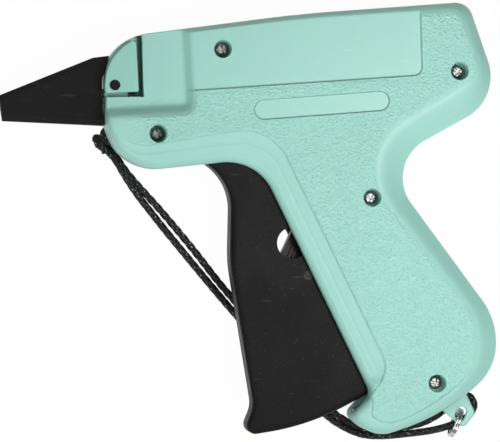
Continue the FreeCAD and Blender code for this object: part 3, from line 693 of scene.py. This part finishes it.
class Casing:
    """One half of the casing. The left half also has the slots, the pocket and the screw wells."""

    def __init__(self, left):
        self.left = left
        self.outlines = {
            "outline": rounded_outline(CASING), "texture": rounded_outline(TEXTURE),
            "crease": rounded_outline(FIELD), "plaque": capsule(*PLAQUE),
            "panel": rounded_outline(PANEL), "recess": rounded_outline(NOSE_RECESS),
            "pocket": rounded_outline(LOCK_POCKET, 0.5), "upright_slot": rounded_outline(UPRIGHT_SLOT, 0.5),
            "level_slot": rounded_outline(LEVEL_SLOT, 0.5), "way": rounded_outline(TRIGGER_WAY, 2.0),
        }
        self.measured = None

    def distance(self, points, name):
        """Distance to one of the outlines, kept as long as the same points are asked for."""
        if self.measured is not points:
            self.measured, self.known = points, {}
        if name not in self.known:
            self.known[name] = signed_distance(points, self.outlines[name])
        return self.known[name]

    def top(self, points):
        z = casing_surface(points, -self.distance(points, "outline"), self.distance(points, "texture"),
                           np.abs(self.distance(points, "crease")))
        for name, depth, wall_from, wall_to in PRESSED:
            z = pressed(z, self.distance(points, name), THICKNESS - depth, wall_from, wall_to)
        if self.left:
            level_floor = np.where(points[:, 0] < COVER_END, HOLDER_COVER, SLOT_FLOOR)
            for name, floor in (("pocket", POCKET_FLOOR), ("upright_slot", SLOT_FLOOR),
                                ("level_slot", level_floor)):
                z = pressed(z, self.distance(points, name), floor, -CUT_WALL, 0.0)
            for place in SCREWS:
                away = from_place(points, place)
                z = np.where(away < WELL_RADIUS, np.minimum(z, np.interp(away, WELL_RADII, WELL_HEIGHTS)), z)
        return z

    def bottom(self, points):
        depth = -self.distance(points, "outline")
        open_way = (self.distance(points, "way") < 0) & (from_place(points, PIVOT) < TRIGGER_REACH)
        roof = np.clip(self.top(points) - SHELL, MID, HIGHEST_ROOF)
        roof = np.where(open_way & (depth < WALL), OPENING_ROOF, roof)
        off_axis = points[:, 1] - axis_height(points[:, 0])
        round_rod = np.sqrt(np.clip(BORE_RADIUS ** 2 - off_axis ** 2, 0, None))
        bore = MID + round_rod * (points[:, 0] < BORE_END)
        holder = True
        for value, (low, high) in zip((points[:, 0], off_axis), HOLDER_ROOM):
            holder = holder & (value > low) & (value < high)
        bore = np.where(holder, HOLDER_ROOF, bore)
        return np.where((depth > WALL) | open_way, np.maximum(roof, bore), bore)

    def grain(self, points):
        """How strongly each point is grained: full on the raised field, fading out behind and at the nose.
        The same share sets the painted sheen, so the casing is painted darker behind and at the nose.
        """
        back = soft(rearward(points) - 0.5)
        inside = soft((-self.distance(points, "texture") + 0.1 + 0.9 * back) / (0.3 + 1.8 * back))
        for smooth_part in ("panel", "plaque"):
            inside = inside * soft((self.distance(points, smooth_part) + 0.1) / 0.25)
        inside = inside * soft((self.distance(points, "recess") - 1.4) / 0.8)
        return (inside * (0.25 + 0.75 * soft((points[:, 0] + 42.0) / 12.0))).astype(np.float32)

    def lines(self):
        """Lines of points where the surface bends: beside the outlines and round the screw wells."""
        rows = {"texture": (-0.04, 0.1, 0.22, 0.44, 1.0), "crease": (-0.35, 0.0, 0.35),
                "panel": (-0.5, -0.22, 0.02), "plaque": (-0.36, -0.15, 0.08),
                "recess": (-2.3, -1.8, -1.3, -0.8, -0.4, 0.0, 0.4, 0.8, 1.3, 1.7),
                "outline": (-0.3, -0.7, -1.2, -1.7, -2.0, -2.25, -2.45, -2.65, -2.95, -3.3)}
        wells = []
        if self.left:
            rows.update({name: (-0.07, 0.01) for name in ("pocket", "upright_slot", "level_slot")})
            wells = [circle(place, radius, 40) for place in SCREWS for radius in (2.68, 2.79, 3.02)]
        return [beside(self.outlines[name], gap) for name, gaps in rows.items() for gap in gaps] + wells

    def busy(self, points):
        """Where the surface bends enough for the fine grid."""
        near = (self.distance(points, "texture") > -1.0) | (np.abs(self.distance(points, "recess")) < 3.0)
        for place in SCREWS:
            near |= from_place(points, place) < 4.5
        return near

    def mesh(self, name):
        relief = Relief(self.outlines["outline"], [], self.top, self.bottom, self.lines(),
                        fine=bpy.context.scene.attacher_casing.spacing / MM, coarse=2.6, busy=self.busy)
        return relief.mesh(name, flip=not self.left, rim=0.18, grain=self.grain)


def tab_mesh(name, outline, hole, low, high):
    """A flat tab with an eye and soft edges."""
    def top(points):
        depth = np.minimum(-signed_distance(points, outline), signed_distance(points, hole))
        from_round = 1 - np.clip(depth / LUG_EDGE, 0, 1)
        return high - LUG_EDGE * (1 - np.sqrt(1 - from_round ** 2))

    def bottom(points):
        return low + high - top(points)

    lines = [beside(outline, -0.12), beside(outline, -LUG_EDGE), beside(hole, 0.12), beside(hole, LUG_EDGE)]
    return Relief(outline, [hole], top, bottom, lines, fine=0.6, coarse=0.6).mesh(name, rim=0)


def joined_mesh(name, meshes):
    """One mesh from several, keeping their point attributes."""
    objs = [linked(mesh.name, mesh) for mesh in meshes]
    with bpy.context.temp_override(active_object=objs[0], selected_editable_objects=objs):
        bpy.ops.object.join()
    mesh = objs[0].data.copy()
    mesh.name = name
    bpy.data.objects.remove(objs[0])
    return mesh


class ATTACHER_OT_casing(bpy.types.Operator):
    """Build both casing halves with their bevels, panel, recesses and the lug's tab"""
    bl_idname = "attacher.casing"
    bl_label = "Casing"

    def execute(self, context):
        given = context.scene.attacher_casing
        mint = plastic("Mint casing plastic", given.colour, 0.42, scratches=0.10, grain_size=given.grain_size,
                       grain_depth=given.grain_depth)
        left = Casing(True).mesh("left_half")
        soften(left, 38)
        new_object("left_half", left, mint, "casing", ("left_shell", "nose_block"))
        right = Casing(False).mesh("right_half")
        lug_outline = rounded_outline(LUG, 0.4)
        lug_eye = capsule(*LUG_EYE, 0.3)
        joined = joined_mesh("right_half", [right, tab_mesh("lug", lug_outline, lug_eye, *LUG_HEIGHTS)])
        soften(joined, 38)
        new_object("right_half", joined, mint, "casing", ("right_shell",))
        return {"FINISHED"}


# ---- black mouldings ----
class ATTACHER_OT_trigger(bpy.types.Operator):
    """Dress the trigger"""
    bl_idname = "attacher.trigger"
    bl_label = "Trigger"

    def execute(self, context):
        given = context.scene.attacher_black
        black = plastic("Black trigger plastic", given.colour, given.roughness, tone=0.10, scratches=0.02,
                        dust=0.03, shine=0.09)
        weigh_normals(dressed("trigger", black, "trigger"))
        return {"FINISHED"}


class ATTACHER_OT_needle_cap(bpy.types.Operator):
    """Build the pull-off cap over the needle"""
    bl_idname = "attacher.needle_cap"
    bl_label = "Needle cap"

    def execute(self, context):
        given = context.scene.attacher_black
        black = plastic("Black cap plastic", given.colour, given.roughness, tone=0.10, scratches=0.02,
                        dust=0.02, shine=0.15)
        obj = dressed("needle_cap", black, "needle_cap", 25)
        bevel = obj.modifiers.new("Soft edges", "BEVEL")
        bevel.width = 0.0003
        bevel.segments = 3
        bevel.limit_method = "ANGLE"
        bevel.angle_limit = math.radians(22)
        weigh_normals(obj)
        return {"FINISHED"}


class ATTACHER_OT_lock_lever(bpy.types.Operator):
    """Build the quarter-round lock lever and its pin"""
    bl_idname = "attacher.lock_lever"
    bl_label = "Lock lever"

    def execute(self, context):
        given = context.scene.attacher_casing
        mint = plastic("Mint lever plastic", given.lever_colour, 0.36, scratches=0.10)
        weigh_normals(dressed("lock_lever", mint, "lock_lever"))
        pin = plastic("Black pin", (0.008, 0.007, 0.009), 0.45, tone=0.10, scratches=0.0, shine=0.12)
        dressed("lock_lever_pin", pin, "casing")
        return {"FINISHED"}


# ---- screws ----
def screw_mesh():
    """One pan-head screw with a cross recess, its axis through the origin."""
    outline = circle((0, 0), SCREW_RADIUS, 36)

    def top(points):
        rounded = np.clip(from_place(points, (0, 0)) - SCREW_RADIUS + 1, 0, 1) ** 2.2
        across = np.abs(points)
        arm = soft((CROSS_WIDTH - across.min(1)) / 0.14) * soft((CROSS_REACH - across.max(1)) / 0.3)
        return SCREW_TOP - SCREW_DOME * rounded - CROSS_DEPTH * arm

    def bottom(points):
        return np.full(len(points), SCREW_SEAT + 0.02)

    mesh = Relief(outline, [], top, bottom, fine=0.17, coarse=0.17).mesh("screw_head", rim=0)
    soften(mesh, 50)
    return mesh


def socket_named(tree, name):
    return next(item.identifier for item in tree.interface.items_tree
                if item.item_type == "SOCKET" and item.in_out == "INPUT" and item.name == name)


def scatter_tree(material):
    """Puts one piece on every point of a mesh, turned by the point's turn attribute."""
    tree, n, given, out = new_tree("Screws on their bosses", "GeometryNodeTree",
                                   [("Geometry", "Geometry"), ("Screw", "Object"), ("Size", "Float", 1.0)],
                                   [("Geometry", "Geometry")])
    piece = n.add("GeometryNodeObjectInfo", {"Object": given["Screw"]})
    turn = n.add("GeometryNodeInputNamedAttribute", {"Name": "turn"}, data_type="FLOAT").outputs[0]
    rotation = n.add("ShaderNodeCombineXYZ", {"Z": turn}).outputs[0]
    scale = n.add("ShaderNodeCombineXYZ", {"X": given["Size"], "Y": given["Size"], "Z": 1.0}).outputs[0]
    placed = n.add("GeometryNodeInstanceOnPoints", {
        "Points": given["Geometry"], "Instance": piece.outputs["Geometry"], "Rotation": rotation,
        "Scale": scale}).outputs[0]
    n.finish(placed, material, out)
    return tree


def applied_mesh(obj, name):
    """The evaluated shape of an object as a plain mesh."""
    bpy.context.view_layer.update()
    seen = obj.evaluated_get(bpy.context.evaluated_depsgraph_get())
    mesh = bpy.data.meshes.new_from_object(seen)
    mesh.name = name
    return mesh


class ATTACHER_OT_screws(bpy.types.Operator):
    """Set a cross-recess screw in each of the casing's five wells"""
    bl_idname = "attacher.screws"
    bl_label = "Case screws"

    def execute(self, context):
        # the plating's colour is kept dark, partly as painted shade for the heads that sit down in their
        # wells
        material = steel("Zinc-plated screw", (0.36, 0.355, 0.34), 0.42)
        head = linked("screw_head", screw_mesh())
        places = bpy.data.meshes.new("screw_places")
        places.from_pydata([(x * MM, y * MM, 0) for x, y in SCREWS], [], [])
        turns = [math.radians(12 + 17 * i) for i in range(len(SCREWS))]
        places.attributes.new("turn", "FLOAT", "POINT").data.foreach_set("value", turns)
        host = linked("screw_places", places)
        modifier = host.modifiers.new("Screws", "NODES")
        modifier.node_group = scatter_tree(material)
        modifier[socket_named(modifier.node_group, "Screw")] = head
        mesh = applied_mesh(host, "case_screws_dressed")
        for obj in (head, host):
            bpy.data.objects.remove(obj)
        new_object("case_screws_dressed", mesh, None, "casing", ("case_screws",))
        return {"FINISHED"}


# ---- inner mechanism ----
class ATTACHER_OT_mechanism(bpy.types.Operator):
    """Give the lever, slider, needle and feed pieces their materials"""
    bl_idname = "attacher.mechanism"
    bl_label = "Mechanism"

    def execute(self, context):
        white = plastic("White acetal", (0.70, 0.71, 0.68), 0.38)
        dark = plastic("Black acetal", (0.008, 0.008, 0.009), 0.34, tone=0.05, shine=0.14)
        natural = plastic("Natural acetal", (0.56, 0.57, 0.53), 0.42, tone=0.03)
        ground = steel("Ground steel pin", (0.30, 0.29, 0.28), 0.34)
        bright = steel("Stainless needle steel", (0.62, 0.62, 0.62), 0.24)
        weigh_normals(dressed("drive_lever", dark, "drive_lever"))
        blackened = steel("Blackened link pin", (0.035, 0.035, 0.035), 0.5)
        weigh_normals(dressed("link_pin", blackened, "trigger"))
        finishes = {"slider": white, "push_rod_guide": natural, "needle_base": natural, "feed_track": natural,
                    "feed_wheel": natural, "feed_pawl": natural, "lever_pin": ground, "slider_pin": ground,
                    "feed_wheel_pin": ground, "feed_pawl_pin": ground, "push_rod": bright, "needle": bright,
                    "knife_blade": bright}
        for node, material in finishes.items():
            set_material(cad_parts[node].data, material)
        spring = dressed("return_spring", ground, "casing", 60)
        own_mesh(spring)
        return {"FINISHED"}


# ---- wrist cord ----
def spline_points(route, name):
    """Points along a smooth line through the route, read from its NURBS spline."""
    curve = bpy.data.curves.new(name, "CURVE")
    curve.dimensions = "3D"
    curve.resolution_u = 12
    spline = curve.splines.new("NURBS")
    spline.points.add(len(route) - 1)
    for point, place in zip(spline.points, route):
        point.co = (place[0] * MM, place[1] * MM, place[2] * MM, 1.0)
    spline.order_u = 3
    spline.use_endpoint_u = True
    obj = linked(name, curve)
    mesh = applied_mesh(obj, name)
    points = [v.co.copy() for v in mesh.vertices]
    bpy.data.meshes.remove(mesh)
    bpy.data.objects.remove(obj)
    return points


def braid_tree(material):
    """A round braid along a line of points: two sets of ribs that cross."""
    tree, n, given, out = new_tree("Braided cord", "GeometryNodeTree",
                                   [("Geometry", "Geometry"), ("Diameter", "Float", 0.0022),
                                    ("Pitch", "Float", 0.0034), ("Relief", "Float", 0.00022),
                                    ("Ring gap", "Float", 0.00028)],
                                   [("Geometry", "Geometry")])
    line = n.add("GeometryNodeMeshToCurve", {0: given["Geometry"]}).outputs[0]
    spaced = {"Curve": line, "Length": given["Ring gap"]}
    rings = n.add("GeometryNodeResampleCurve", spaced, mode="LENGTH").outputs[0]
    line, along = n.capture(rings, "along", n.add("GeometryNodeSplineParameter").outputs["Length"])
    radius = n.math("MULTIPLY", given["Diameter"], 0.5)
    circle_node = {"Resolution": BRAID_SIDES, "Radius": radius}
    ring = n.add("GeometryNodeCurvePrimitiveCircle", circle_node).outputs[0]
    share = n.math("DIVIDE", n.add("GeometryNodeInputIndex").outputs[0], BRAID_SIDES)
    ring, around = n.capture(ring, "around", share)
    swept = {"Curve": line, "Profile Curve": ring, "Fill Caps": True}
    tube = n.add("GeometryNodeCurveToMesh", swept).outputs[0]
    turns_along = n.math("MULTIPLY", n.math("DIVIDE", along, given["Pitch"]), 2 * math.pi)
    turns_around = n.math("MULTIPLY", around, 2 * math.pi * BRAID_STRANDS)
    one = n.math("SINE", n.math("ADD", turns_along, turns_around))
    other = n.math("SINE", n.math("SUBTRACT", turns_along, turns_around))
    height = n.math("MAXIMUM", one, other)
    depth = n.math("MULTIPLY", n.math("SUBTRACT", height, 1.0), n.math("MULTIPLY", given["Relief"], 0.5))
    push = n.add("ShaderNodeVectorMath", {0: n.add("GeometryNodeInputNormal").outputs[0]}, operation="SCALE")
    n.feed(push.inputs["Scale"], depth)
    shaped = n.add("GeometryNodeSetPosition", {"Geometry": tube, "Offset": push.outputs[0]}).outputs[0]
    for name, value in (("rib", height), ("along", along), ("around", around)):
        store = n.add("GeometryNodeStoreNamedAttribute", {"Geometry": shaped, "Name": name},
                      data_type="FLOAT", domain="POINT")
        n.feed(store.inputs["Value"], value)
        shaped = store.outputs[0]
    n.finish(n.add("GeometryNodeSetShadeSmooth", {0: shaped}).outputs[0], material, out)
    return tree


def braid_material(colour):
    """Black nylon braid: painted highlight on the rib tops and painted shade in the grooves between them,
    fine threads and pale flecks.
    """
    material, n, bsdf = new_material("Black nylon braid")
    rib = n.attribute("rib")
    along = n.math("MULTIPLY", n.attribute("along"), 21000.0)
    around = n.math("MULTIPLY", n.attribute("around"), 60.0)
    threads = n.math("SINE", n.math("ADD", along, around))
    specks = n.scale_range(n.noise(n.place(), 1700.0, 1.0), 0.64, 0.70)
    fleck = n.math("MULTIPLY", specks, n.scale_range(rib, 0.3, 0.9))
    # painted shade and highlight: a third of the braid's colour in the grooves, nearly twice it on the rib
    # tops
    dark = tuple(c * 0.35 for c in colour)
    light = tuple(min(1.0, c * 1.8) for c in colour)
    base = n.mix(n.scale_range(rib, -0.3, 1.0), (*dark, 1), (*light, 1))
    base = n.mix(n.math("MULTIPLY", fleck, 0.8), base, (0.55, 0.55, 0.54, 1))
    n.feed(bsdf.inputs["Base Color"], base)
    n.feed(bsdf.inputs["Normal"], n.bump(0.5, 0.00004, threads))
    bsdf.inputs["Roughness"].default_value = 0.68
    bsdf.inputs["Specular IOR Level"].default_value = 0.25
    return material


def braided(name, points, tree, given, scale=1.0):
    """A braid along a line of points, scale times as thick as the cord."""
    line = bpy.data.meshes.new(name + "_line")
    line.from_pydata([tuple(p) for p in points], [(i, i + 1) for i in range(len(points) - 1)], [])
    host = linked(line.name, line)
    modifier = host.modifiers.new("Braid", "NODES")
    modifier.node_group = tree
    modifier[socket_named(tree, "Diameter")] = given.diameter * scale
    modifier[socket_named(tree, "Pitch")] = given.rib_length * scale
    mesh = applied_mesh(host, name)
    bpy.data.objects.remove(host)
    return mesh


def knot_points():
    """A closed overhand knot under the nose: points along a trefoil."""
    out = []
    for k in range(13):
        t = 2 * math.pi * k / 12
        x = math.sin(t) + 2 * math.sin(2 * t)
        y = math.cos(t) - 2 * math.cos(2 * t)
        z = -math.sin(3 * t)
        out.append((KNOT[0] + KNOT_SIZE * x, KNOT[1] + KNOT_SIZE * y, KNOT[2] + KNOT_DEPTH * z))
    return out


class ATTACHER_OT_wrist_cord(bpy.types.Operator):
    """Lay the braided wrist cord from the nose knot to the heel ring and back"""
    bl_idname = "attacher.wrist_cord"
    bl_label = "Wrist cord"

    def execute(self, context):
        given = context.scene.attacher_cord
        material = braid_material(given.colour)
        tree = braid_tree(material)
        path = spline_points(CORD_ROUTE, "wrist_cord_line")
        mesh = braided("wrist_cord_braid", path, tree, given)
        cord = new_object("wrist_cord_braid", mesh, None, "casing", ("wrist_cord",))
        x, y, z = KNOT_LOOP
        turns = [math.radians(20 * k) for k in range(19)]
        loop = [(x + LOOP_RADIUS * math.cos(t), y + LOOP_RADIUS * math.sin(t), z) for t in turns]
        parts = (("knot_strands", knot_points(), 0.95), ("knot_loop", loop, 0.9),
                 ("knot_tail", CORD_TAIL, 0.95))
        strands = [braided(name, spline_points(route, name + "_route"), tree, given, scale)
                   for name, route, scale in parts]
        knot = joined_mesh("wrist_cord_knot_braid", strands)
        knot = new_object("wrist_cord_knot_braid", knot, material, "casing", ("wrist_cord_knot",))
        length = sum((b - a).length for a, b in zip(path, path[1:]))
        tuple(path[0])
        [tuple(p) for p in path]
        return {"FINISHED"}


class ATTACHER_OT_split_ring(bpy.types.Operator):
    """Finish the steel split ring in the heel lug"""
    bl_idname = "attacher.split_ring"
    bl_label = "Split ring"

    def execute(self, context):
        material = steel("Nickel ring", (0.72, 0.72, 0.72), 0.22)
        dressed("split_ring", material, "casing", 60)
        return {"FINISHED"}


# ---- stage ----
# in metres: name, place, aim, width and share of the key light's power
LAMPS = [("Key", (-0.25, -0.75, 0.75), (0, 0, 0), 0.45, 1.0),
         ("Near", (0.105, 0.0, 0.29), (0.08, 0, 0), 0.10, 0.175),
         ("Left", (-0.70, -0.35, 0.80), (0, 0, 0), 0.40, 0.9),
         ("Edge", (-0.72, -0.10, 1.15), (0, 0, 0), 0.14, 0.3),
         ("Back streak", (0.47, -0.82, 0.60), (0.05, 0.03, 0), 0.22, 0.5)]
LENS_PLACE = (-0.1323, 0.00617)
LENS_AIM = (0.00003, -0.00083, 0.025)
FLOOR_REACH = 3.0


def area_lamp(name, place, target, size, power):
    lamp = bpy.data.lights.new(name, "AREA")
    lamp.size = size
    lamp.energy = power
    obj = linked(name, lamp)
    obj.location = place
    obj.rotation_euler = (Vector(target) - Vector(place)).to_track_quat("-Z", "Y").to_euler()


class ATTACHER_OT_stage(bpy.types.Operator):
    """Set the camera, the white floor and the lamps"""
    bl_idname = "attacher.stage"
    bl_label = "Stage"

    def execute(self, context):
        given = context.scene.attacher_stage
        scene = context.scene
        camera = bpy.data.cameras.new("Long lens")
        camera.sensor_width = 36.0
        camera.lens = 272.3
        camera.clip_end = 20.0
        camera.clip_start = 0.05
        eye = linked("Long lens", camera)
        place = Vector((*LENS_PLACE, given.lens_height))
        ahead = (Vector(LENS_AIM) - place).normalized()
        across = ahead.cross(Vector((0, 1, 0))).normalized()
        above = across.cross(ahead)
        turn = Matrix((across, above, -ahead)).transposed().to_4x4()
        eye.matrix_world = Matrix.Translation(place) @ turn
        scene.camera = eye

        mesh = bpy.data.meshes.new("floor")
        corners = [(FLOOR_REACH * x, FLOOR_REACH * y, 0) for x, y in ((-1, -1), (1, -1), (1, 1), (-1, 1))]
        mesh.from_pydata(corners, [], [(0, 1, 2, 3)])
        floor = linked("floor", mesh)
        material, n, bsdf = new_material("White floor")
        bsdf.inputs["Base Color"].default_value = (0.9, 0.9, 0.9, 1)
        bsdf.inputs["Roughness"].default_value = 0.9
        bsdf.inputs["Specular IOR Level"].default_value = 0.0
        glow = n.add("ShaderNodeEmission", {"Color": (1, 1, 1, 1), "Strength": 1.0}).outputs[0]
        rays = n.add("ShaderNodeLightPath").outputs
        seen = n.math("MAXIMUM", n.math("MAXIMUM", rays["Is Camera Ray"], rays["Is Glossy Ray"]),
                      rays["Is Transmission Ray"])
        mix = n.add("ShaderNodeMixShader")
        n.feed(mix.inputs[0], n.math("MULTIPLY", seen, 0.97))
        n.feed(mix.inputs[1], bsdf.outputs[0])
        n.feed(mix.inputs[2], glow)
        n.feed(material.node_tree.nodes["Material Output"].inputs["Surface"], mix.outputs[0])
        mesh.materials.append(material)

        world = bpy.data.worlds.new("Studio")
        scene.world = world
        world.use_nodes = True
        n = Nodes(world.node_tree)
        heading = n.add("ShaderNodeTexCoord").outputs["Generated"]
        height = n.add("ShaderNodeSeparateXYZ", {0: heading}).outputs["Z"]
        background = world.node_tree.nodes["Background"]
        background.inputs["Color"].default_value = (1, 1, 1, 1)
        n.feed(background.inputs["Strength"], n.scale_range(height, 0.55, 0.85, 0.05, given.sky))
        for name, place, target, size, share in LAMPS:
            area_lamp(name, place, target, size, given.key_power * share)
        scene.view_settings.view_transform = "Standard"
        return {"FINISHED"}


class ATTACHER_PT_sidebar(bpy.types.Panel):
    """Sizes, colours and building steps of the tag attacher"""
    bl_idname = "ATTACHER_PT_sidebar"
    bl_label = "Tag Attacher"
    bl_space_type = "VIEW_3D"
    bl_region_type = "UI"
    bl_category = "Tag Attacher"

    def draw(self, context):
        for name in SETTINGS:
            group = getattr(context.scene, name)
            for key in group.bl_rna.properties.keys():
                if key not in ("rna_type", "name"):
                    self.layout.prop(group, key)
        for operator in OPERATORS:
            self.layout.operator(operator.bl_idname)


OPERATORS = [ATTACHER_OT_stage, ATTACHER_OT_split_ring, ATTACHER_OT_wrist_cord, ATTACHER_OT_casing,
             ATTACHER_OT_trigger, ATTACHER_OT_needle_cap, ATTACHER_OT_lock_lever, ATTACHER_OT_screws,
             ATTACHER_OT_mechanism]
SETTINGS = {"attacher_casing": AttacherCasingSettings, "attacher_black": AttacherBlackSettings,
            "attacher_cord": AttacherCordSettings, "attacher_stage": AttacherStageSettings}


def register():
    for name, group in SETTINGS.items():
        bpy.utils.register_class(group)
        setattr(bpy.types.Scene, name, bpy.props.PointerProperty(type=group))
    for cls in OPERATORS + [ATTACHER_PT_sidebar]:
        bpy.utils.register_class(cls)


def unregister():
    for cls in reversed(OPERATORS + [ATTACHER_PT_sidebar]):
        bpy.utils.unregister_class(cls)
    for name, group in SETTINGS.items():
        delattr(bpy.types.Scene, name)
        bpy.utils.unregister_class(group)


def main():
    register()
    bpy.ops.attacher.stage()
    bpy.ops.attacher.split_ring()
    bpy.ops.attacher.wrist_cord()
    bpy.ops.attacher.casing()
    bpy.ops.attacher.trigger()
    bpy.ops.attacher.needle_cap()
    bpy.ops.attacher.lock_lever()
    bpy.ops.attacher.screws()
    bpy.ops.attacher.mechanism()


if __name__ == "__main__":
    main()
